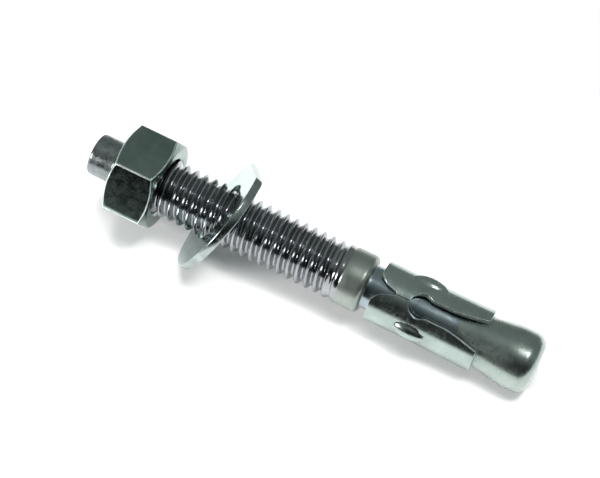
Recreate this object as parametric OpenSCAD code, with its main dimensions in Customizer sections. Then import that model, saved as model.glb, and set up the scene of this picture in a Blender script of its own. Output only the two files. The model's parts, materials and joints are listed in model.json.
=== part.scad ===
// Zinc plated wedge anchor, 3/8 in by 3 in, lying on a flat surface.
// The bolt frame has its axis along local Z, from the dog point to the cone end.
// Angles round the axis start at the underside and turn towards the back.

/* [Bolt] */
// Overall length of the bolt
bolt_length = 76.2; // [74:0.1:90]
// Thread crest diameter
thread_major = 9.28; // [9.2:0.01:9.35]
// Thread root diameter
thread_minor = 7.56; // [7.4:0.01:7.7]
// Distance from one thread crest to the next
thread_pitch = 1.5875; // [1.5:0.0125:1.6]
// Share of the pitch that is flat on the crest
crest_share = 0.125; // [0.08:0.005:0.2]
// Share of the pitch that is flat in the root
root_share = 0.25; // [0.15:0.005:0.3]
// Distance from the dog end to the start of the thread
thread_start = 5.1; // [5:0.1:5.6]
// Length over which the last grooves get shallow
thread_runout = 2.6; // [1.6:0.1:5]
// Distance from the dog end to the groove centre at the angle thread_groove_angle
thread_groove_at = 15.28; // [14.6:0.01:16]
// Angle round the axis at which that groove centre is taken
thread_groove_angle = 119; // [0:1:360]

/* [Dog point] */
// Diameter of the plain dog point
dog_dia = 6.82; // [6:0.01:7.2]
// Radius on the end edge of the dog point
dog_edge = 0.5; // [0.2:0.05:1]

/* [Collar and neck] */
// Diameter of the collar
collar_dia = 9.44; // [9.35:0.01:9.8]
// Length of the slope from the thread up to the collar
collar_slope = 0.9; // [0.4:0.1:1.5]
// Step from the thread crests up to the start of that slope, on the radius
collar_step = 0.03; // [0.02:0.01:0.05]
// Length of the collar with its rounded shoulder
collar_length = 3; // [2:0.1:4]
// Radius on the shoulder of the collar
collar_edge = 0.9; // [0.4:0.05:1]
// Diameter of the neck that the clip rides on
neck_dia = 7.08; // [6.6:0.01:7.2]
// Length of the neck between the collar and the cone
neck_length = 15.06; // [15:0.01:16]

/* [Cone] */
// Largest diameter of the cone end
cone_dia = 9.86; // [9.6:0.01:10]
// Half angle of the cone
cone_angle = 8.6; // [7:0.1:9.5]
// Length of the straight land behind the cone
cone_land = 1.95; // [1:0.05:2.5]
// Radius on the end edge of the cone
cone_edge = 2.1; // [1:0.05:2.4]

/* [Expansion clip] */
// Gap between the collar and the clip
clip_gap = 1.5; // [1:0.1:3]
// Length of the clip along the bolt
clip_length = 17.7; // [15:0.1:18]
// Thickness of the sheet
clip_sheet = 0.88; // [0.7:0.01:0.9]
// Running clearance between the finger tips and the cone
clip_seat_gap = 0.015; // [0.01:0.005:0.05]
// How much wider the clip is at the finger tips than at the ring, on the radius
clip_flare = 0.17; // [0.1:0.01:0.3]
// Length of the fingers that flares
clip_flare_length = 9.6; // [8:0.1:11]
// Number of fingers
clip_fingers = 3; // [2:1:4]
// Angle round the axis of the first slot
clip_slot_angle = 201; // [180:1:220]

/* [Clip slots] */
// Length of whole sheet between a notch and the round head of a slot
clip_web = 2.15; // [1.8:0.05:2.8]
// Radius of the round slot head
slot_head_r = 2.05; // [1.8:0.05:2.2]
// Half width of the slot at its neck
slot_neck = 1.56; // [1.3:0.01:1.7]
// Half width of the slot at the finger tips
slot_mouth = 2.55; // [2:0.05:2.8]
// Length of the straight slot neck, measured from the head's centre
slot_neck_length = 4.6; // [3:0.1:5]
// Depth of the notch in the ring end
notch_depth = 2.9; // [2:0.1:3.2]
// Half width of the notch at its bottom
notch_bottom = 0.4; // [0.2:0.05:0.6]
// Half width that the notch gains for each unit towards its mouth
notch_slope = 0.33; // [0.1:0.01:0.5]
// How strongly the corners of the notch's mouth are rounded
notch_round = 0.45; // [0.2:0.01:0.6]
// Width of the seam where the ends of the folded sheet meet
seam_width = 0.14; // [0.08:0.01:0.3]

/* [Clip bumps] */
// Distance from the ring end of the clip to the centre of its bumps
bump_at = 7.2; // [6:0.1:9]
// Length of a bump
bump_length = 5.4; // [4:0.1:6]
// Width of a bump
bump_width = 2.8; // [2:0.1:3.4]
// Height of a bump over the sheet
bump_height = 0.75; // [0.4:0.05:0.9]

/* [Nut] */
// Width across the flats of the nut
nut_flats = 14.2; // [13.9:0.05:14.4]
// Height of the nut
nut_height = 7.8; // [7:0.1:8.6]
// Distance from the dog end to the near face of the nut
nut_at = 4.95; // [4:0.05:6]
// Diameter of the circle where the chamfers meet the nut's faces
nut_chamfer_dia = 13.5; // [13:0.05:13.8]
// Radial clearance between the nut's bore and the thread crests
nut_clearance = 0.06; // [0.02:0.01:0.1]
// Depth of the countersink at each end of the nut's bore
nut_countersink = 0.4; // [0.2:0.05:0.8]

/* [Washer] */
// Outer diameter of the washer
washer_dia = 20.6; // [19.5:0.1:21]
// Hole diameter of the washer
washer_hole = 10.5; // [10.3:0.05:11]
// Thickness of the washer
washer_thickness = 1.3; // [1.2:0.05:1.4]
// Size of the rounding and of the bevel on the washer's rim
washer_edge = 0.25; // [0.1:0.05:0.4]
// Radius on the edges of the washer's hole
washer_hole_edge = 0.12; // [0.05:0.01:0.2]
// Distance from the washer's centre to the flat on its rim
washer_flat_at = 8.6; // [8:0.1:9.6]
// Angle of that flat from the washer's top towards the back
washer_flat_angle = 52; // [30:1:70]
// Lean of the washer against the bolt axis
washer_lean = 25.5; // [24:0.1:27]
// Distance from the dog end to the washer's centre
washer_at = 22.4; // [20:0.01:26]
// Height of the washer's centre over the bolt axis
washer_rise = 0; // [-0.1:0.01:0.1]

/* [Hidden] */
$fn = 96;
thread_sides = 32;
// How far a cutter reaches past what it cuts
cut_past = 1;
// How far the thread and the bolt's plain ends reach into each other
end_overlap = 0.4;
// Turns that put the middle of a facet at the floor, half a facet of the meshed cone and washer
shank_turn = 3.2;
washer_turn = 1.8;

crest_r = thread_major / 2;
root_r = thread_minor / 2;
dog_r = dog_dia / 2;
collar_r = collar_dia / 2;
neck_r = neck_dia / 2;
cone_r = cone_dia / 2;

// Stations along the bolt, worked out from the cone end back to the thread
land_end = bolt_length - cone_edge;
land_start = land_end - cone_land;
cone_start = land_start - (cone_r - neck_r) / tan(cone_angle);
collar_end = cone_start - neck_length;
collar_flat_at = collar_end - collar_length;
thread_end = collar_flat_at - collar_slope;
thread_rim = thread_end + end_overlap;

// Clip stations and radii
clip_start = collar_end + clip_gap;
clip_end = clip_start + clip_length;
cone_r_at_tips = neck_r + max(0, clip_end - cone_start) * tan(cone_angle);
clip_tip_inner = cone_r_at_tips + clip_seat_gap;
clip_ring_inner = clip_tip_inner - clip_flare;
clip_ring_outer = clip_ring_inner + clip_sheet;
clip_tip_outer = clip_tip_inner + clip_sheet;
clip_flare_start = clip_end - clip_flare_length;
notch_end = notch_depth + notch_bottom;
slot_head_at = clip_length - notch_end - clip_web - slot_head_r;
finger_step = 360 / clip_fingers;
finger_angle = clip_slot_angle + finger_step / 2;

// Nut sizes
nut_corner_r = nut_flats / sqrt(3);
nut_face_r = nut_chamfer_dia / 2;
nut_chamfer_depth = (nut_corner_r - nut_face_r) * tan(30);
nut_bore_r = crest_r + nut_clearance;
nut_corner_angle = 210;

// The rim of the washer and the edge of the cone end both touch the floor.
washer_r = washer_dia / 2;
rim_reach = washer_r - washer_edge;
rim_side = washer_thickness / 2 - washer_edge;
rim_s = washer_at - rim_reach * sin(washer_lean) + rim_side * cos(washer_lean);
rim_z = washer_rise - rim_reach * cos(washer_lean) - rim_side * sin(washer_lean);
edge_s = bolt_length - cone_edge;
edge_z = cone_edge - cone_r;
span = norm([edge_s - rim_s, edge_z - rim_z]);
lay_angle = atan2(edge_z - rim_z, edge_s - rim_s) + asin((washer_edge - cone_edge) / span);
floor_z = cone_edge - (edge_z * cos(lay_angle) - edge_s * sin(lay_angle));

// The washer's rim is bevelled flush with the floor on the side that rests there.
bevel_angle = washer_lean + lay_angle;
bevel_reach = rim_reach + washer_edge * tan((90 - bevel_angle) / 2);
bevel_side = rim_side + washer_edge * tan(bevel_angle / 2);

// Both ends of the part along the floor, for an origin in the middle of its box
low_x = dog_edge * cos(lay_angle) - (dog_r - dog_edge) * sin(lay_angle) - dog_edge;
high_x = edge_s * cos(lay_angle) + (cone_r - cone_edge) * sin(lay_angle) + cone_edge;
mid_x = (low_x + high_x) / 2;

// Puts what is drawn along the bolt axis where it lies on the floor
module lay_down() {
    translate([-mid_x, 0, floor_z])
        rotate([0, lay_angle, 0])
            children();
}

module along_bolt() {
    lay_down()
        rotate([0, 90, 0])
            children();
}

// Points of an arc about [x, y], from angle a to angle b
function arc(x, y, r, a, b, steps = 8) =
    [for (i = [0:steps]) let (t = a + (b - a) * i / steps) [x + r * cos(t), y + r * sin(t)]];

// The bolt's plain ends, as profiles of radius against distance
module dog_profile() {
    square([dog_r - dog_edge, thread_start]);
    translate([0, dog_edge])
        square([dog_r, thread_start + end_overlap - dog_edge]);
    translate([dog_r - dog_edge, dog_edge])
        circle(dog_edge);
}

module shank_profile() {
    polygon([
        [0, thread_end],
        [crest_r + collar_step, thread_end],
        [collar_r, collar_flat_at],
        [collar_r, collar_end - collar_edge],
        [collar_r - collar_edge, collar_end],
        [neck_r, collar_end],
        [neck_r, cone_start],
        [cone_r, land_start],
        [cone_r, land_end],
        [cone_r - cone_edge, bolt_length],
        [0, bolt_length]
    ]);
    translate([collar_r - collar_edge, collar_end - collar_edge])
        circle(collar_edge);
    translate([cone_r - cone_edge, land_end])
        circle(cone_edge);
}

// Helical thread with a flat crest and root, its core and two flat ends
flank = thread_pitch * (1 - crest_share - root_share) / 2;
groove_zero = thread_groove_at - thread_pitch * thread_groove_angle / 360;
first_turn = floor((thread_start - groove_zero) / thread_pitch) - 2;
last_turn = ceil((thread_rim - groove_zero) / thread_pitch) + 1;
rows = 4 * (last_turn - first_turn);
row_offsets = [
    -root_share * thread_pitch / 2,
    root_share * thread_pitch / 2,
    root_share * thread_pitch / 2 + flank,
    thread_pitch - root_share * thread_pitch / 2 - flank
];

function thread_s(side, row) =
    groove_zero
    + thread_pitch * (first_turn + floor(row / 4) + side / thread_sides)
    + row_offsets[row % 4];

function groove_r(s) =
    root_r + (crest_r - root_r) * min(1, max(0, (s - thread_end + thread_runout) / thread_runout));

function thread_r(row, s) =
    min((row % 4 < 2) ? groove_r(s) : crest_r, root_r + max(0, s - thread_start));

function ring_point(r, side, s) =
    [r * cos(360 * side / thread_sides), r * sin(360 * side / thread_sides), s];

// Rows past an end of the thread share that end's rim points.
function thread_index(side, row) =
    let (s = thread_s(side, row))
    s <= thread_start ? side
    : s >= thread_rim ? thread_sides + side
    : (2 + row) * thread_sides + side;

function next_index(side, row) =
    side < thread_sides - 1 ? thread_index(side + 1, row) : thread_index(0, row + 4);

function is_face(f) =
    f[0] != f[1] && f[1] != f[2] && f[2] != f[0];

module thread() {
    points = concat(
        [for (side = [0:thread_sides - 1]) ring_point(root_r, side, thread_start)],
        [for (side = [0:thread_sides - 1]) ring_point(crest_r, side, thread_rim)],
        [for (row = [0:rows + 4], side = [0:thread_sides - 1])
            let (s = thread_s(side, row))
            ring_point(thread_r(row, s), side, s)]
    );
    quads = [for (row = [0:rows - 1], side = [0:thread_sides - 1])
        [thread_index(side, row), next_index(side, row),
            next_index(side, row + 1), thread_index(side, row + 1)]];
    halves = [for (q = quads) each [[q[0], q[2], q[1]], [q[0], q[3], q[2]]]];
    polyhedron(
        points,
        concat(
            [[for (side = [0:thread_sides - 1]) side]],
            [[for (side = [thread_sides - 1:-1:0]) thread_sides + side]],
            [for (f = halves) if (is_face(f)) f]
        ),
        convexity = 10
    );
}

module anchor_bolt() {
    color("silver")
        along_bolt() {
            rotate_extrude()
                dog_profile();
            thread();
            rotate([0, 0, shank_turn])
                rotate_extrude()
                    shank_profile();
        }
}

// Expansion clip
module clip_profile() {
    polygon([
        [clip_ring_inner, clip_start],
        [clip_ring_outer, clip_start],
        [clip_ring_outer, clip_flare_start],
        [clip_tip_outer, clip_end],
        [clip_tip_inner, clip_end],
        [clip_ring_inner, clip_flare_start]
    ]);
}

// A spindle whose crown stands over the sheet as a long oval bump
module bump(depth) {
    across = (pow(bump_width / 2, 2) + pow(bump_height, 2)) / (2 * bump_height);
    along = (pow(bump_length / 2, 2) + pow(bump_height, 2)) / (2 * bump_height);
    translate([clip_ring_outer + bump_height - across, 0, clip_start + bump_at])
        rotate_extrude()
            intersection() {
                translate([across - along, 0])
                    circle(along - depth);
                translate([0, -along])
                    square(2 * along);
            }
}

function slot_half_width(d) =
    let (blend = min(1, max(0, d / (slot_neck_length / 3))))
    let (flare = max(0, d - slot_neck_length) / (slot_head_at - slot_neck_length))
    d < slot_neck_length
        ? slot_neck + (slot_head_r - slot_neck) * (1 + cos(180 * blend)) / 2
        : slot_neck + (slot_mouth - slot_neck) * pow(flare, 1.3);

module slot_outline() {
    head = clip_end - slot_head_at;
    steps = 16;
    past = slot_head_at + cut_past;
    right = [for (i = [0:steps]) let (d = past * i / steps) [slot_half_width(d), head + d]];
    left = [for (i = [steps:-1:0]) let (d = past * i / steps) [-slot_half_width(d), head + d]];
    polygon(concat(right, left));
    translate([0, head])
        circle(slot_head_r);
}

function notch_half_width(d) =
    notch_bottom + notch_slope * d + notch_round * pow(max(0, d - notch_depth / 2), 2);

module notch_outline() {
    bottom = clip_start + notch_depth;
    steps = 10;
    past = notch_depth + cut_past;
    right = [for (i = [0:steps]) let (d = past * i / steps) [notch_half_width(d), bottom - d]];
    left = [for (i = [steps:-1:0]) let (d = past * i / steps) [-notch_half_width(d), bottom - d]];
    polygon(concat(right, left));
    translate([0, bottom])
        circle(notch_bottom);
}

// Cuts an outline, drawn across and along the sheet, out through the wall at an angle
module through_sheet(angle) {
    wall_inside = clip_ring_inner / 2;
    wall_outside = clip_tip_outer + cut_past;
    rotate([0, 0, angle])
        translate([wall_inside, 0, 0])
            rotate([90, 0, 90])
                linear_extrude(height = wall_outside - wall_inside)
                    children();
}

module expansion_clip() {
    color("darkgray")
        along_bolt()
            difference() {
                union() {
                    rotate_extrude()
                        clip_profile();
                    difference() {
                        for (i = [0:clip_fingers - 1])
                            rotate([0, 0, finger_angle + finger_step * i])
                                bump(0);
                        cylinder(r = clip_ring_inner + clip_sheet / 2, h = bolt_length);
                    }
                }
                for (i = [0:clip_fingers - 1])
                    rotate([0, 0, finger_angle + finger_step * i])
                        bump(clip_sheet);
                for (i = [0:clip_fingers - 1])
                    through_sheet(clip_slot_angle + finger_step * i)
                        slot_outline();
                for (i = [0:clip_fingers - 1])
                    through_sheet(clip_slot_angle + finger_step * i)
                        notch_outline();
                through_sheet(clip_slot_angle)
                    translate([-seam_width / 2, clip_start])
                        square([seam_width, clip_length - slot_head_at]);
            }
}

// Hex nut with both faces chamfered
module nut_round_profile() {
    polygon([
        [nut_bore_r + nut_countersink, 0],
        [nut_face_r, 0],
        [nut_corner_r, nut_chamfer_depth],
        [nut_corner_r, nut_height - nut_chamfer_depth],
        [nut_face_r, nut_height],
        [nut_bore_r + nut_countersink, nut_height],
        [nut_bore_r, nut_height - nut_countersink],
        [nut_bore_r, nut_countersink]
    ]);
}

module hex_nut() {
    color("lightslategray")
        along_bolt()
            translate([0, 0, nut_at])
                intersection() {
                    rotate_extrude()
                        nut_round_profile();
                    rotate([0, 0, nut_corner_angle])
                        cylinder(r = nut_corner_r, h = nut_height, $fn = 6);
                }
}

// Flat washer, leaning on the bolt with its rim on the floor
module washer_profile() {
    hole_r = washer_hole / 2;
    half = washer_thickness / 2;
    union() {
        translate([hole_r + washer_hole_edge, -half])
            square([rim_reach - hole_r - washer_hole_edge, washer_thickness]);
        translate([hole_r, washer_hole_edge - half])
            square([washer_hole_edge, washer_thickness - 2 * washer_hole_edge]);
        polygon([
            [rim_reach, -half],
            [bevel_reach, -half],
            [washer_r, -bevel_side],
            [washer_r, rim_side],
            [rim_reach, rim_side]
        ]);
        translate([rim_reach, rim_side])
            circle(washer_edge);
        for (side = [-1, 1])
            translate([hole_r + washer_hole_edge, side * (half - washer_hole_edge)])
                circle(washer_hole_edge);
    }
}

module flat_washer() {
    color("gainsboro")
        lay_down()
            translate([washer_at, 0, washer_rise])
                rotate([0, washer_lean - 90, 0])
                    difference() {
                        rotate([0, 0, washer_turn])
                            rotate_extrude()
                                washer_profile();
                        rotate([0, 0, washer_flat_angle])
                            translate([washer_flat_at, -washer_r, -washer_thickness])
                                cube([washer_r, 2 * washer_r, 2 * washer_thickness]);
                    }
}

anchor_bolt();
expansion_clip();
hex_nut();
flat_washer();
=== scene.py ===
"""Looks of a zinc plated wedge anchor that lies on a pale floor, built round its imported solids."""

import json
import math

import bpy
import numpy as np
from mathutils import Matrix, Vector
from mathutils.geometry import delaunay_2d_cdt


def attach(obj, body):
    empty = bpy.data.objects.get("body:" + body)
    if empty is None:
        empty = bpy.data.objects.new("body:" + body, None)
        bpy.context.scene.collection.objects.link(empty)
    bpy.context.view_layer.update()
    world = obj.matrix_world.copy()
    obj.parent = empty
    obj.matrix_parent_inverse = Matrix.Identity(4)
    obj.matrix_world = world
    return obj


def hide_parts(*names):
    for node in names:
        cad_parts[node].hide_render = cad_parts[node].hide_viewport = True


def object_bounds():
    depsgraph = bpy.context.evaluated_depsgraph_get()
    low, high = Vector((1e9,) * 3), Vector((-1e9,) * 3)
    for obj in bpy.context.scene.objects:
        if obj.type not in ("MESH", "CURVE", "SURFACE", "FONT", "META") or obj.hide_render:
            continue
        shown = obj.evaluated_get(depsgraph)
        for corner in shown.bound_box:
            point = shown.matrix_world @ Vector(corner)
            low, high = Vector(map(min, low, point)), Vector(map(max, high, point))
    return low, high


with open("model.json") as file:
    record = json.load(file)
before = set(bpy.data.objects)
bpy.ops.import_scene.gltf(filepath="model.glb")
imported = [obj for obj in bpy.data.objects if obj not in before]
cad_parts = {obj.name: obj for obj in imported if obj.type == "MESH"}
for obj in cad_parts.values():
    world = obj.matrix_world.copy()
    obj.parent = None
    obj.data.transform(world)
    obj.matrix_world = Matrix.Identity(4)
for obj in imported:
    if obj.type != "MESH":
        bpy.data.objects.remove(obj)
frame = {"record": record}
cad_low, cad_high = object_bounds()

MM = 0.001
TAU = 2 * math.pi

# Stations along the bolt from the dog end, and radii, in millimetres as in the solids
BOLT_LENGTH = 76.2
THREAD_START = 5.1
THREAD_END = 44.0
THREAD_RUNOUT = 2.6
THREAD_PITCH = 1.5875
CREST_R = 4.64
ROOT_R = 3.78
GROOVE_AT = 15.28
GROOVE_ANGLE = math.radians(119)
DOG_R = 3.41
DOG_EDGE = 0.5
COLLAR_R = 4.72
COLLAR_FLAT_AT = 44.9
COLLAR_END = 47.9
COLLAR_EDGE = 0.9
NECK_R = 3.54
CONE_R = 4.93
CONE_EDGE = 2.1
CONE_LAND = 1.95
CONE_ANGLE = math.radians(8.6)
LAND_END = BOLT_LENGTH - CONE_EDGE
LAND_START = LAND_END - CONE_LAND
CONE_START = LAND_START - (CONE_R - NECK_R) / math.tan(CONE_ANGLE)
ROUND_SIDES = 120

# Expansion clip, in millimetres
CLIP_START = 49.4
CLIP_END = 67.1
CLIP_SHEET = 0.88
CLIP_TIP_INNER = NECK_R + (CLIP_END - CONE_START) * math.tan(CONE_ANGLE) + 0.015
CLIP_FLARE = 0.17
CLIP_FLARE_LENGTH = 9.6
CLIP_FINGERS = 3
CLIP_SLOT_ANGLE = math.radians(201)
SLOT_HEAD_AT = 10.2
SLOT_HEAD_R = 2.05
SLOT_NECK = 1.56
SLOT_MOUTH = 2.55
SLOT_NECK_LENGTH = 4.6
NOTCH_DEPTH = 2.9
SEAM = 0.14
BUMP_AT = 7.2
BUMP_LENGTH = 5.4
BUMP_WIDTH = 2.8
BUMP_HEIGHT = 0.75

# Nut and washer, in millimetres
NUT_AT = 4.95
NUT_HEIGHT = 7.8
NUT_FLATS = 14.2
NUT_FACE_R = 6.75
NUT_BORE_R = 4.7
NUT_COUNTERSINK = 0.4
NUT_CORNER_ANGLE = math.radians(210)
WASHER_AT = 22.4
WASHER_R = 10.3
WASHER_HOLE_R = 5.25
WASHER_THICKNESS = 1.3
WASHER_EDGE = 0.25
WASHER_HOLE_EDGE = 0.12
WASHER_FLAT_AT = 8.6
WASHER_FLAT_ANGLE = math.radians(52)
WASHER_LEAN = math.radians(25.5)
WASHER_BEVEL = math.radians(30.18)


# The bolt frame, from the mount on the cone's land: local Z runs from the dog end to the cone end.
def mount(name):
    return next(m for m in frame["record"]["mounts"] if m["name"] == name)


def bolt_matrix():
    cone_end = mount("cone_end")
    along = Vector(cone_end["axis"]).normalized()
    back = Vector((0, 1, 0))
    down = back.cross(along)
    dog_end = Vector(cone_end["pos_m"]) - along * (LAND_END - CONE_LAND / 2) * MM
    return Matrix.Translation(dog_end) @ Matrix((down, back, along)).transposed().to_4x4()


BOLT = bolt_matrix()


def washer_matrix():
    """Local Z is the washer's axis towards the nut, local X points up its face."""
    place = Matrix.Translation((0, 0, WASHER_AT * MM))
    normal = Vector((-math.sin(WASHER_LEAN), 0, -math.cos(WASHER_LEAN)))
    upward = Vector((-math.cos(WASHER_LEAN), 0, math.sin(WASHER_LEAN)))
    across = normal.cross(upward)
    return BOLT @ place @ Matrix((upward, across, normal)).transposed().to_4x4()


# Mesh helpers
def make_piece(name, points_mm, faces, matrix, body, replaced, sharp_degrees=35):
    mesh = bpy.data.meshes.new(name)
    mesh.from_pydata((np.asarray(points_mm, float) * MM).tolist(), [], faces)
    mesh.validate()
    mesh.polygons.foreach_set("use_smooth", [True] * len(mesh.polygons))
    mesh.set_sharp_from_angle(angle=math.radians(sharp_degrees))
    piece = bpy.data.objects.new(name, mesh)
    bpy.context.scene.collection.objects.link(piece)
    piece.matrix_world = matrix
    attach(piece, body)
    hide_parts(replaced)
    return piece


def arc(x, y, r, start, end, steps):
    """Points [radius, station] of an arc about (x, y)."""
    return [
        (x + r * math.cos(start + (end - start) * i / steps),
         y + r * math.sin(start + (end - start) * i / steps))
        for i in range(steps + 1)
    ]


def between(a, b, steps):
    """Points from a up to, but not at, b."""
    return [(a[0] + (b[0] - a[0]) * i / steps, a[1] + (b[1] - a[1]) * i / steps) for i in range(steps)]


def ring_faces(first, second, sides):
    """Quads between two rings, given as their first indices."""
    return [
        (first + j, first + (j + 1) % sides, second + (j + 1) % sides, second + j)
        for j in range(sides)
    ]


def soft_low(a, b, k):
    """The smaller of two values, rounded over k where they meet."""
    h = max(k - abs(a - b), 0) / k
    return min(a, b) - h * h * k / 4


# Bolt
def dog_profile():
    """From the middle of the dog's end to the foot of the thread."""
    edge = DOG_EDGE
    points = [(r, 0.02 * (1 - r / DOG_R)) for r in (0.6, 1.3, 2.0, 2.5)]
    points += arc(DOG_R - edge, edge, edge, -math.pi / 2, 0, 8)
    points += between((DOG_R, edge + 0.4), (DOG_R, THREAD_START - 0.15), 8)
    points += arc(DOG_R + 0.15, THREAD_START - 0.15, 0.15, math.pi, math.pi / 2, 3)
    return points


def shank_profile():
    """From the collar's slope to the middle of the cone's end."""
    soft = 0.12
    points = between((CREST_R + 0.03, THREAD_END + 0.05), (COLLAR_R, COLLAR_FLAT_AT), 5)
    points += between((COLLAR_R, COLLAR_FLAT_AT + soft), (COLLAR_R, COLLAR_END - COLLAR_EDGE), 8)
    points += arc(COLLAR_R - COLLAR_EDGE, COLLAR_END - COLLAR_EDGE, COLLAR_EDGE, 0, math.pi / 2, 12)
    points += arc(NECK_R + soft, COLLAR_END + soft, soft, -math.pi / 2, -math.pi, 4)
    points += between((NECK_R, COLLAR_END + 0.6), (NECK_R, CONE_START - 1.2), 12)
    # The neck runs into the cone, and the cone into its land, over a short curve.
    slope = math.tan(CONE_ANGLE)
    for station in np.arange(CONE_START - 1.0, LAND_START + 1.0, 0.4):
        cone = max(NECK_R, NECK_R + (station - CONE_START) * slope)
        eased = NECK_R + max(0, station - CONE_START + 0.8) ** 2 * slope / 3.2
        r = eased if station < CONE_START + 0.8 else cone
        points.append((soft_low(r, CONE_R, 0.16) + 0.0, station))
    points += between((CONE_R, LAND_START + 1.1), (CONE_R, LAND_END), 3)
    points += arc(CONE_R - CONE_EDGE, LAND_END, CONE_EDGE, 0, math.pi / 2, 18)
    points += [(r, BOLT_LENGTH) for r in (2.3, 1.7, 1.0, 0.4)]
    return points


def thread_height(share):
    """Height of the rolled thread over its root, at a share of the pitch from the groove's centre."""
    off_groove = abs((share + 0.5) % 1 - 0.5) * THREAD_PITCH
    root_flat = 0.1
    depth = CREST_R - ROOT_R
    flank = max(0, off_groove - root_flat) / math.tan(math.radians(30))
    lifted = math.sqrt(flank * flank + 0.012) - math.sqrt(0.012)
    return max(0, soft_low(lifted, depth, 0.42))


def build_stud():
    sides = ROUND_SIDES
    steps = 14
    angles = [TAU * j / sides for j in range(sides)]
    zero = GROOVE_AT - THREAD_PITCH * GROOVE_ANGLE / TAU
    first_turn = math.floor((THREAD_START - zero) / THREAD_PITCH) - 2
    last_turn = math.ceil((THREAD_END - zero) / THREAD_PITCH) + 1
    rows = steps * (last_turn - first_turn)
    crown = max(thread_height(i / steps) for i in range(steps))

    points, faces = [], []

    def add_ring(r, station):
        start = len(points)
        points.extend((r * math.cos(a), r * math.sin(a), station) for a in angles)
        return start

    points.append((0, 0, 0.02))
    last = None
    for r, station in dog_profile():
        ring = add_ring(r, station)
        if last is None:
            faces.extend((0, ring + (j + 1) % sides, ring + j) for j in range(sides))
        else:
            faces.extend(ring_faces(last, ring, sides))
        last = ring
    foot = add_ring(ROOT_R, THREAD_START)
    faces.extend(ring_faces(last, foot, sides))
    head = add_ring(CREST_R, THREAD_END)

    def station_of(side, row):
        return zero + THREAD_PITCH * (first_turn + row / steps + side / sides)

    made = {}

    def index_of(side, row):
        if side >= sides:
            side, row = side - sides, row + steps
        station = station_of(side, row)
        if station <= THREAD_START + 0.02:
            return foot + side
        if station >= THREAD_END - 0.02:
            return head + side
        key = (side, row)
        if key not in made:
            height = thread_height((row % steps) / steps) * (CREST_R - ROOT_R) / crown
            runout = min(1, max(0, (station - THREAD_END + THREAD_RUNOUT) / THREAD_RUNOUT))
            r = ROOT_R + height
            r += (CREST_R - r) * runout
            r = min(r, ROOT_R + (station - THREAD_START))
            made[key] = len(points)
            points.append((r * math.cos(angles[side]), r * math.sin(angles[side]), station))
        return made[key]

    for row in range(rows):
        for side in range(sides):
            quad = (index_of(side, row), index_of(side + 1, row),
                    index_of(side + 1, row + 1), index_of(side, row + 1))
            corners = list(dict.fromkeys(quad))
            if len(corners) > 2:
                faces.append(tuple(corners))

    last = head
    for r, station in shank_profile():
        ring = add_ring(r, station)
        faces.extend(ring_faces(last, ring, sides))
        last = ring
    tip = len(points)
    points.append((0, 0, BOLT_LENGTH))
    faces.extend((tip, last + j, last + (j + 1) % sides) for j in range(sides))
    stud = make_piece("stud", points, faces, BOLT, "anchor", "anchor_bolt", 50)
    stations = [p.center.z / MM for p in stud.data.polygons]
    finish_ends = (THREAD_START, THREAD_END + 0.1, COLLAR_END, CONE_START)
    index = [sum(s > end for end in finish_ends) for s in stations]
    stud.data.polygons.foreach_set("material_index", index)
    return stud


# Expansion clip, drawn flat as arc length against station and then rolled round the neck
CLIP_RING_R = CLIP_TIP_INNER - CLIP_FLARE + CLIP_SHEET
CLIP_ROUND = TAU * CLIP_RING_R
CLIP_PITCH = CLIP_ROUND / CLIP_FINGERS


def slot_half_width(d):
    blend = min(1, max(0, d / (SLOT_NECK_LENGTH / 3)))
    flare = max(0, d - SLOT_NECK_LENGTH) / (SLOT_HEAD_AT - SLOT_NECK_LENGTH)
    if d < SLOT_NECK_LENGTH:
        return SLOT_NECK + (SLOT_HEAD_R - SLOT_NECK) * (1 + math.cos(math.pi * blend)) / 2
    return SLOT_NECK + (SLOT_MOUTH - SLOT_NECK) * flare ** 1.3


def notch_half_width(d):
    return 0.4 + 0.33 * d + 0.45 * max(0, d - NOTCH_DEPTH / 2) ** 2


def flat_to_arc(w):
    """Arc length on the sheet of a cutter's straight half width."""
    return CLIP_RING_R * math.asin(min(0.99, w / CLIP_RING_R))


def notch_side(centre, sign):
    """From the ring end down one side of a notch to its bottom."""
    bottom = CLIP_START + NOTCH_DEPTH
    side = [
        (centre + sign * flat_to_arc(notch_half_width(d)), bottom - d)
        for d in np.linspace(NOTCH_DEPTH, 0, 18)
    ]
    turn = [
        (centre + sign * 0.4 * math.cos(t), bottom + 0.4 * math.sin(t))
        for t in np.linspace(0, math.pi / 2, 6)[1:]
    ]
    return side + turn


def slot_side(centre, sign):
    """From the finger tips down one side of a slot to the far end of its head."""
    head = CLIP_END - SLOT_HEAD_AT
    side = [
        (centre + sign * flat_to_arc(slot_half_width(d)), head + d)
        for d in np.linspace(SLOT_HEAD_AT, 0, 44)
    ]
    turn = [
        (centre + sign * flat_to_arc(SLOT_HEAD_R * math.cos(t)), head - SLOT_HEAD_R * math.sin(t))
        for t in np.linspace(0, math.pi / 2, 18)[1:]
    ]
    return side + turn


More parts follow.
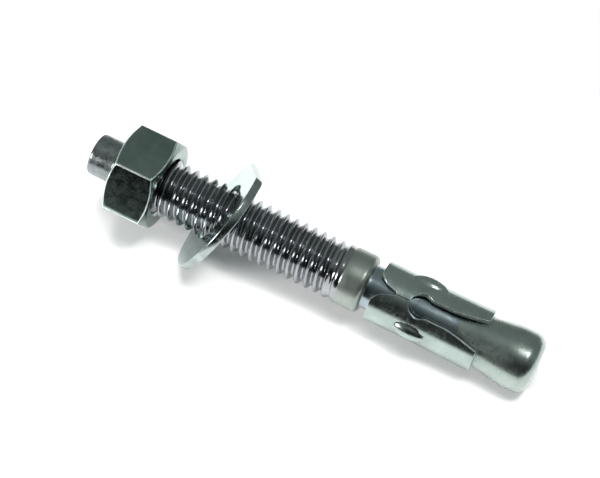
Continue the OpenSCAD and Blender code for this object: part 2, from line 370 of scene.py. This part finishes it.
def clip_outline():
    """The sheet's closed outline, from the seam round and back."""
    half_seam = SEAM / 2
    path = [(max(half_seam, u), v) for u, v in reversed(notch_side(0, 1))]
    for i in range(1, CLIP_FINGERS):
        path += notch_side(i * CLIP_PITCH, -1)[:-1]
        path += reversed(notch_side(i * CLIP_PITCH, 1))
    path += [(min(CLIP_ROUND - half_seam, u), v) for u, v in notch_side(CLIP_ROUND, -1)]
    path += [(min(CLIP_ROUND - half_seam, u), v) for u, v in reversed(slot_side(CLIP_ROUND, -1))]
    for i in range(CLIP_FINGERS - 1, 0, -1):
        path += slot_side(i * CLIP_PITCH, 1)[:-1]
        path += reversed(slot_side(i * CLIP_PITCH, -1))
    path += [(max(half_seam, u), v) for u, v in slot_side(0, 1)]
    clean = [path[0]]
    for p in path[1:]:
        if math.dist(p, clean[-1]) > 0.05:
            clean.append(p)
    return clean


def fill_long_edges(path, longest):
    filled = []
    for a, b in zip(path, path[1:] + path[:1]):
        pieces = max(1, math.ceil(math.dist(a, b) / longest))
        filled += [(a[0] + (b[0] - a[0]) * i / pieces, a[1] + (b[1] - a[1]) * i / pieces)
                   for i in range(pieces)]
    return filled


def inside_outline(grid, outline, margin):
    """Which grid points lie inside the outline and further than margin from it."""
    a = np.array(outline)
    b = np.roll(a, -1, axis=0)
    x, y = grid[:, :1], grid[:, 1:]
    crosses = (a[:, 1] > y) != (b[:, 1] > y)
    rise = np.where(b[:, 1] == a[:, 1], 1e-12, b[:, 1] - a[:, 1])
    hit = x < (b[:, 0] - a[:, 0]) * (y - a[:, 1]) / rise + a[:, 0]
    inside = (crosses & hit).sum(1) % 2 == 1
    along = b - a
    length = (along ** 2).sum(1)
    t = ((x - a[:, 0]) * along[:, 0] + (y - a[:, 1]) * along[:, 1]) / length
    t = np.clip(t, 0, 1)
    gap = np.hypot(x - a[:, 0] - t * along[:, 0], y - a[:, 1] - t * along[:, 1]).min(1)
    return inside & (gap > margin)


def bump_height(u, v):
    """Height of the pressed oval bumps over the sheet."""
    finger = (u / CLIP_PITCH) % 1 - 0.5
    across = finger * CLIP_PITCH / (BUMP_WIDTH / 2)
    along = (v - CLIP_START - BUMP_AT) / (BUMP_LENGTH / 2)
    inside = 1 - across * across - along * along
    return BUMP_HEIGHT * max(0, inside) ** 0.75


def clip_radius(v):
    flare = max(0, v - CLIP_END + CLIP_FLARE_LENGTH) / CLIP_FLARE_LENGTH
    return CLIP_RING_R + CLIP_FLARE * flare


def build_clip():
    outline = fill_long_edges(clip_outline(), 0.24)
    step = 0.24
    us = np.arange(step / 2, CLIP_ROUND, step)
    vs = np.arange(CLIP_START + step / 2, CLIP_END, step)
    grid = np.array([(u + (k % 2) * step / 2, v) for k, v in enumerate(vs) for u in us])
    grid = grid[inside_outline(grid, outline, 0.16)]
    flat = [Vector(p) for p in outline] + [Vector(p) for p in grid]
    edges = [(i, (i + 1) % len(outline)) for i in range(len(outline))]
    points, _, faces, _, _, _ = delaunay_2d_cdt(flat, edges, [list(range(len(outline)))], 1, 1e-6)

    def rolled(p, inward):
        u, v = p
        angle = CLIP_SLOT_ANGLE + u / CLIP_RING_R
        r = clip_radius(v) + bump_height(u, v) - inward
        return (r * math.cos(angle), r * math.sin(angle), v)

    outer = [rolled(p, 0) for p in points]
    inner = [rolled(p, CLIP_SHEET) for p in points]
    count = len(points)
    skin = [tuple(f) for f in faces]
    rims = {}
    for f in skin:
        for a, b in zip(f, f[1:] + f[:1]):
            rims[(a, b)] = rims.get((b, a), 0) + 1
    border = [(a, b) for (a, b) in rims if (b, a) not in rims]
    shell = skin + [tuple(count + i for i in reversed(f)) for f in skin]
    shell += [(b, a, count + a, count + b) for a, b in border]
    clip = make_piece("clip", outer + inner, shell, BOLT, "anchor", "expansion_clip", 40)
    # Material 1, on the side walls and the bevel, is a painted highlight along the sheared edges.
    walls = [i >= 2 * len(skin) for i in range(len(shell))]
    if len(clip.data.polygons) == len(walls):
        clip.data.polygons.foreach_set("material_index", [int(w) for w in walls])
    bevel = clip.modifiers.new("sheared_edges", "BEVEL")
    bevel.width = 0.11 * MM
    bevel.segments = 2
    bevel.material = 1
    bevel.limit_method = "ANGLE"
    bevel.angle_limit = math.radians(50)
    bevel.harden_normals = False
    return clip


# Nut
def nut_wall(angle):
    """Radius of the hexagon at an angle, with its corners slightly rounded."""
    turn = (angle - NUT_CORNER_ANGLE) % (TAU / 6) - TAU / 12
    r = NUT_FLATS / 2 / math.cos(turn)
    corner = NUT_FLATS / math.sqrt(3)
    return soft_low(r, corner - 0.05, 0.22)


def nut_section(angle):
    """Section [radius, height] of the nut from its bore out, over both faces and back."""
    wall = nut_wall(angle)
    half = NUT_HEIGHT / 2
    slope = math.tan(math.radians(30))
    drop = max(0.02, (wall - NUT_FACE_R) * slope)
    soft = 0.14
    bore = NUT_BORE_R
    sink = NUT_COUNTERSINK
    upper = [(bore, 0.0), (bore, half - sink - soft), (bore + 0.03, half - sink)]
    upper += [(bore + sink * 0.5, half - sink * 0.5), (bore + sink, half - 0.03)]
    upper += [(bore + sink + soft, half), (NUT_FACE_R - soft, half), (NUT_FACE_R, half - 0.02)]
    for share in (0.3, 0.6, 0.85):
        upper.append((NUT_FACE_R + (wall - NUT_FACE_R) * share, half - drop * share - 0.01))
    upper += [(wall - 0.05, half - drop - 0.01), (wall - 0.012, half - drop - 0.06)]
    upper += [(wall, half - drop - 0.14), (wall, half - drop - 0.8), (wall, half * 0.4)]
    lower = [(r, -z) for r, z in reversed(upper[1:])]
    return upper + [(wall, 0.0)] + lower


def build_nut():
    sides = 360
    points, faces = [], []
    for j in range(sides):
        angle = TAU * j / sides
        section = nut_section(angle)
        mid = NUT_AT + NUT_HEIGHT / 2
        points.extend((r * math.cos(angle), r * math.sin(angle), mid + z) for r, z in section)
    per = len(section)
    for j in range(sides):
        k = (j + 1) % sides
        for i in range(per):
            n = (i + 1) % per
            faces.append((j * per + i, j * per + n, k * per + n, k * per + i))
    nut = make_piece("nut", points, faces, BOLT, "nut", "hex_nut", 45)
    # Corners and chamfer feet take a near white tint, a painted highlight of the bright edge lines.
    nut.data.polygons.foreach_set("material_index", [int(on_nut_edge(p)) for p in nut.data.polygons])
    return nut


def on_nut_edge(polygon):
    """Whether a face takes the painted highlight: a corner of the hexagon or the foot of a chamfer."""
    x, y, z = polygon.center / MM
    angle = math.atan2(y, x)
    turn = (angle - NUT_CORNER_ANGLE + TAU / 12) % (TAU / 6) - TAU / 12
    wall = nut_wall(angle)
    if math.hypot(x, y) < wall - 0.08:
        return False
    drop = max(0.02, (wall - NUT_FACE_R) * math.tan(math.radians(30)))
    off_face = NUT_HEIGHT / 2 - abs(z - NUT_AT - NUT_HEIGHT / 2)
    return abs(turn) < math.radians(1.3) or off_face < drop + 0.12


# Washer
def washer_rim(angle):
    turn = (angle - WASHER_FLAT_ANGLE + math.pi) % TAU - math.pi
    if abs(turn) > math.pi / 3:
        return WASHER_R
    return soft_low(WASHER_R, WASHER_FLAT_AT / math.cos(turn), 0.3)


def build_washer():
    sides = 288
    half = WASHER_THICKNESS / 2
    edge, hole = WASHER_EDGE, WASHER_HOLE_EDGE
    points, faces = [], []
    for j in range(sides):
        angle = TAU * j / sides
        rim = washer_rim(angle)
        quarter = math.pi / 2
        section = arc(WASHER_HOLE_R + hole, hole - half, hole, math.pi, 3 * quarter, 4)
        section += between((WASHER_HOLE_R + 0.6, -half), (rim - edge - 0.2, -half), 5)
        section += [(rim - edge * 0.7, -half), (rim - edge * (1 - math.tan((quarter - WASHER_BEVEL) / 2)), -half)]
        section += [(rim, edge - half - edge * math.tan(WASHER_BEVEL / 2))]
        section += arc(rim - edge, half - edge, edge, 0, quarter, 5)
        section += between((rim - edge - 0.2, half), (WASHER_HOLE_R + 0.4, half), 5)
        section += arc(WASHER_HOLE_R + hole, half - hole, hole, quarter, math.pi, 4)
        points.extend((r * math.cos(angle), r * math.sin(angle), z) for r, z in section)
    per = len(section)
    for j in range(sides):
        k = (j + 1) % sides
        for i in range(per):
            n = (i + 1) % per
            faces.append((j * per + i, k * per + i, k * per + n, j * per + n))
    washer = make_piece(
        "washer", points, faces, washer_matrix(), "anchor", "flat_washer", 40)
    on_rim = [p.center.xy.length / MM > min(washer_rim(math.atan2(p.center.y, p.center.x)), 99) - 0.26
              for p in washer.data.polygons]
    washer.data.polygons.foreach_set("material_index", [int(x) for x in on_rim])
    return washer


# Materials
class Nodes:
    """A short way to wire one material."""

    def __init__(self, name):
        self.material = bpy.data.materials.new(name)
        self.material.use_nodes = True
        self.tree = self.material.node_tree
        self.shader = self.tree.nodes["Principled BSDF"]

    def add(self, kind, inputs=None, **settings):
        node = self.tree.nodes.new(kind)
        for key, value in settings.items():
            setattr(node, key, value)
        for key, value in (inputs or {}).items():
            if isinstance(value, bpy.types.NodeSocket):
                self.tree.links.new(value, node.inputs[key])
            else:
                node.inputs[key].default_value = value
        return node

    def place(self, scale):
        """The piece's own coordinates, in millimetres times a scale along each axis."""
        coordinates = self.add("ShaderNodeTexCoord")
        return self.add("ShaderNodeMapping", {
            "Vector": coordinates.outputs["Object"],
            "Scale": [1000 * s for s in scale]}).outputs["Vector"]

    def noise(self, where, scale, detail=3.0, roughness=0.5):
        return self.add("ShaderNodeTexNoise", {
            "Vector": where, "Scale": scale, "Detail": detail, "Roughness": roughness}).outputs["Fac"]

    def ramp(self, value, low, high, start=0.0, end=1.0):
        return self.add("ShaderNodeMapRange", {
            "Value": value, "From Min": start, "From Max": end, "To Min": low, "To Max": high},
            clamp=True).outputs["Result"]

    def mix(self, share, a, b):
        return self.add("ShaderNodeMix", {0: share, 6: a, 7: b}, data_type="RGBA").outputs[2]

    def bump(self, height, distance_mm, strength, normal=None):
        inputs = {"Height": height, "Distance": distance_mm * MM, "Strength": strength}
        if normal is not None:
            inputs["Normal"] = normal
        return self.add("ShaderNodeBump", inputs).outputs["Normal"]

    def connect(self, **inputs):
        for key, socket in inputs.items():
            self.tree.links.new(socket, self.shader.inputs[key.replace("_", " ")])


def zinc(name, dark, light, rough, marks, mark_depth, pits=0.35, cloud=0.25, coat=0.0):
    """Plated steel: clouded tint, uneven gloss, marks along one direction and fine pits."""
    n = Nodes(name)
    n.shader.inputs["Metallic"].default_value = 1.0
    n.shader.inputs["Coat Weight"].default_value = coat
    n.shader.inputs["Coat Roughness"].default_value = 0.08
    own = n.place((1, 1, 1))
    clouds = n.noise(own, cloud, 4, 0.6)
    grain = n.noise(own, 5.0, 3, 0.6)
    lines = n.noise(n.place(marks), 1.0, 4, 0.65)
    tint = n.ramp(clouds, 0, 1, 0.3, 0.7)
    n.connect(
        Base_Color=n.mix(tint, (*dark, 1), (*light, 1)),
        Roughness=n.ramp(n.noise(own, 0.9, 4, 0.7), rough[0], rough[1], 0.3, 0.7),
        Normal=n.bump(grain, 0.012, pits, n.bump(lines, mark_depth, 0.6)),
    )
    return n.material


def paint():
    turned = (0.25, 0.25, 7.0)
    drawn = (1.2, 1.2, 0.5)
    dog = zinc("zinc_dog", (0.16, 0.17, 0.17), (0.29, 0.32, 0.33), (0.22, 0.42), turned, 0.012, 0.6, 0.9)
    thread = zinc("zinc_thread", (0.22, 0.225, 0.235), (0.34, 0.35, 0.37), (0.12, 0.22), turned, 0.006, 0.2)
    collar = zinc("zinc_collar", (0.26, 0.29, 0.27), (0.34, 0.37, 0.34), (0.34, 0.44), turned, 0.008)
    neck = zinc("zinc_neck", (0.22, 0.27, 0.30), (0.31, 0.37, 0.39), (0.18, 0.28), turned, 0.008)
    cone = zinc("zinc_cone", (0.22, 0.27, 0.25), (0.32, 0.37, 0.345), (0.24, 0.34), turned, 0.006, 0.6, coat=0.5)
    sheet = zinc("zinc_sheet", (0.27, 0.325, 0.305), (0.36, 0.425, 0.40), (0.18, 0.30), drawn, 0.008, 0.5)
    # Much lighter tint on the sheared edges: a painted highlight.
    cut_edge_highlight = zinc("zinc_painted_highlight_cut_edge", (0.50, 0.55, 0.53), (0.80, 0.85, 0.83), (0.30, 0.45), drawn, 0.02, 0.6)
    nut = zinc("zinc_nut", (0.13, 0.18, 0.165), (0.22, 0.275, 0.26), (0.12, 0.22), (2.2, 0.5, 2.2), 0.004)
    # Near white tint for the nut's corners and chamfer feet: a painted highlight.
    nut_edge_highlight = zinc("zinc_painted_highlight_nut_edge", (0.45, 0.50, 0.48), (0.85, 0.9, 0.88), (0.25, 0.45), drawn, 0.01, 0.5, 0.9)
    face = zinc("zinc_washer", (0.30, 0.39, 0.37), (0.38, 0.48, 0.465), (0.14, 0.24), (0.9, 3.0, 0.5), 0.004)
    rim = zinc("zinc_washer_rim", (0.18, 0.22, 0.21), (0.42, 0.47, 0.46), (0.16, 0.30), (0.3, 0.3, 9.0), 0.014)
    return {"stud": [dog, thread, collar, neck, cone], "clip": [sheet, cut_edge_highlight], "nut": [nut, nut_edge_highlight],
            "washer": [face, rim]}


# Stage
def build_floor():
    low, high = -0.12, 0.055
    mesh = bpy.data.meshes.new("floor")
    corners = [(-0.4, low, 0), (0.4, low, 0), (0.4, high, 0), (-0.4, high, 0)]
    mesh.from_pydata(corners, [], [(0, 1, 2, 3)])
    floor = bpy.data.objects.new("floor", mesh)
    bpy.context.scene.collection.objects.link(floor)
    material = bpy.data.materials.new("floor_white")
    material.use_nodes = True
    tree = material.node_tree
    tree.nodes.clear()
    paper = tree.nodes.new("ShaderNodeBsdfDiffuse")
    paper.inputs["Color"].default_value = (0.9, 0.9, 0.9, 1)
    lift = tree.nodes.new("ShaderNodeEmission")
    seen = tree.nodes.new("ShaderNodeLightPath")
    strength = tree.nodes.new("ShaderNodeMath")
    strength.operation = "MULTIPLY"
    strength.inputs[1].default_value = 0.05
    tree.links.new(seen.outputs["Is Camera Ray"], strength.inputs[0])
    tree.links.new(strength.outputs[0], lift.inputs["Strength"])
    both = tree.nodes.new("ShaderNodeAddShader")
    tree.links.new(paper.outputs[0], both.inputs[0])
    tree.links.new(lift.outputs[0], both.inputs[1])
    out = tree.nodes.new("ShaderNodeOutputMaterial")
    tree.links.new(both.outputs[0], out.inputs["Surface"])
    mesh.materials.append(material)
    return floor


def build_world():
    """White to the camera. Reflections see a grey room, darker towards the front."""
    world = bpy.data.worlds.new("studio")
    bpy.context.scene.world = world
    world.use_nodes = True
    tree = world.node_tree
    tree.nodes.clear()

    def node(kind, **settings):
        made = tree.nodes.new(kind)
        for key, value in settings.items():
            setattr(made, key, value)
        return made

    where = node("ShaderNodeTexCoord")
    split = node("ShaderNodeSeparateXYZ")
    tree.links.new(where.outputs["Generated"], split.inputs[0])
    height = node("ShaderNodeMath", operation="MAXIMUM")
    height.inputs[1].default_value = 0
    tree.links.new(split.outputs["Z"], height.inputs[0])
    turn = node("ShaderNodeMath", operation="ARCTAN2")
    tree.links.new(height.outputs[0], turn.inputs[0])
    tree.links.new(split.outputs["Y"], turn.inputs[1])
    share = node("ShaderNodeMapRange")
    share.inputs["From Min"].default_value = math.pi
    share.inputs["From Max"].default_value = 0
    tree.links.new(turn.outputs[0], share.inputs["Value"])
    room = node("ShaderNodeValToRGB")
    stops = [(0.0, 0.01), (0.2, 0.02), (0.3, 0.11), (0.4, 0.27), (0.52, 0.45), (0.66, 0.36), (1.0, 0.33)]
    room.color_ramp.elements[0].position = stops[0][0]
    room.color_ramp.elements[1].position = stops[-1][0]
    for position, _ in stops[1:-1]:
        room.color_ramp.elements.new(position)
    for element, (_, grey) in zip(room.color_ramp.elements, stops):
        element.color = (grey * 0.9, grey, grey * 0.96, 1)
    tree.links.new(share.outputs["Result"], room.inputs["Fac"])
    path = node("ShaderNodeLightPath")
    seen = node("ShaderNodeBackground")
    seen.inputs["Color"].default_value = (1, 1, 1, 1)
    mirrored = node("ShaderNodeBackground")
    tree.links.new(room.outputs["Color"], mirrored.inputs["Color"])
    choose = node("ShaderNodeMixShader")
    tree.links.new(path.outputs["Is Camera Ray"], choose.inputs[0])
    tree.links.new(mirrored.outputs[0], choose.inputs[1])
    tree.links.new(seen.outputs[0], choose.inputs[2])
    out = node("ShaderNodeOutputWorld")
    tree.links.new(choose.outputs[0], out.inputs["Surface"])


def add_lamp(name, direction, distance, diameter, watts, mirrored=True):
    """A round lamp that faces the object from a direction."""
    data = bpy.data.lights.new(name, "AREA")
    data.shape = "DISK"
    data.size = diameter
    data.energy = watts
    lamp = bpy.data.objects.new(name, data)
    bpy.context.scene.collection.objects.link(lamp)
    middle = (cad_low + cad_high) / 2
    way = Vector(direction).normalized()
    lamp.location = middle + way * distance
    lamp.rotation_mode = "QUATERNION"
    lamp.rotation_quaternion = way.to_track_quat("Z", "Y")
    lamp.visible_glossy = mirrored


def build_camera():
    azimuth, elevation, roll = math.radians(25.01), math.radians(57.68), math.radians(2.06)
    target = Vector((-3.70, 3.30, 6.00)) * MM
    distance = 0.27609
    lens = 106.09
    back = Vector((
        math.sin(azimuth) * math.cos(elevation),
        -math.cos(azimuth) * math.cos(elevation),
        math.sin(elevation)))
    data = bpy.data.cameras.new("camera")
    data.sensor_width = 36
    data.lens = lens
    data.clip_start, data.clip_end = 0.01, 10
    camera = bpy.data.objects.new("camera", data)
    bpy.context.scene.collection.objects.link(camera)
    camera.rotation_mode = "QUATERNION"
    camera.location = target + back * distance
    tilt = Matrix.Rotation(roll, 4, "Z").to_quaternion()
    camera.rotation_quaternion = (-back).to_track_quat("-Z", "Y") @ tilt
    bpy.context.scene.camera = camera


build_camera()
looks = paint()
for build in (build_stud, build_clip, build_nut, build_washer):
    piece = build()
    for material in looks[piece.name]:
        piece.data.materials.append(material)

build_floor()
build_world()
add_lamp("lamp_soft", (0.05, 0.15, 1.0), 0.5, 0.4, 3.6, mirrored=False)
add_lamp("lamp_right", (0.30, 0.0, 0.95), 0.40, 0.06, 0.35)
add_lamp("lamp_left", (-0.67, -0.61, 0.42), 0.40, 0.12, 1.3)
bpy.context.scene.view_settings.view_transform = "Standard"
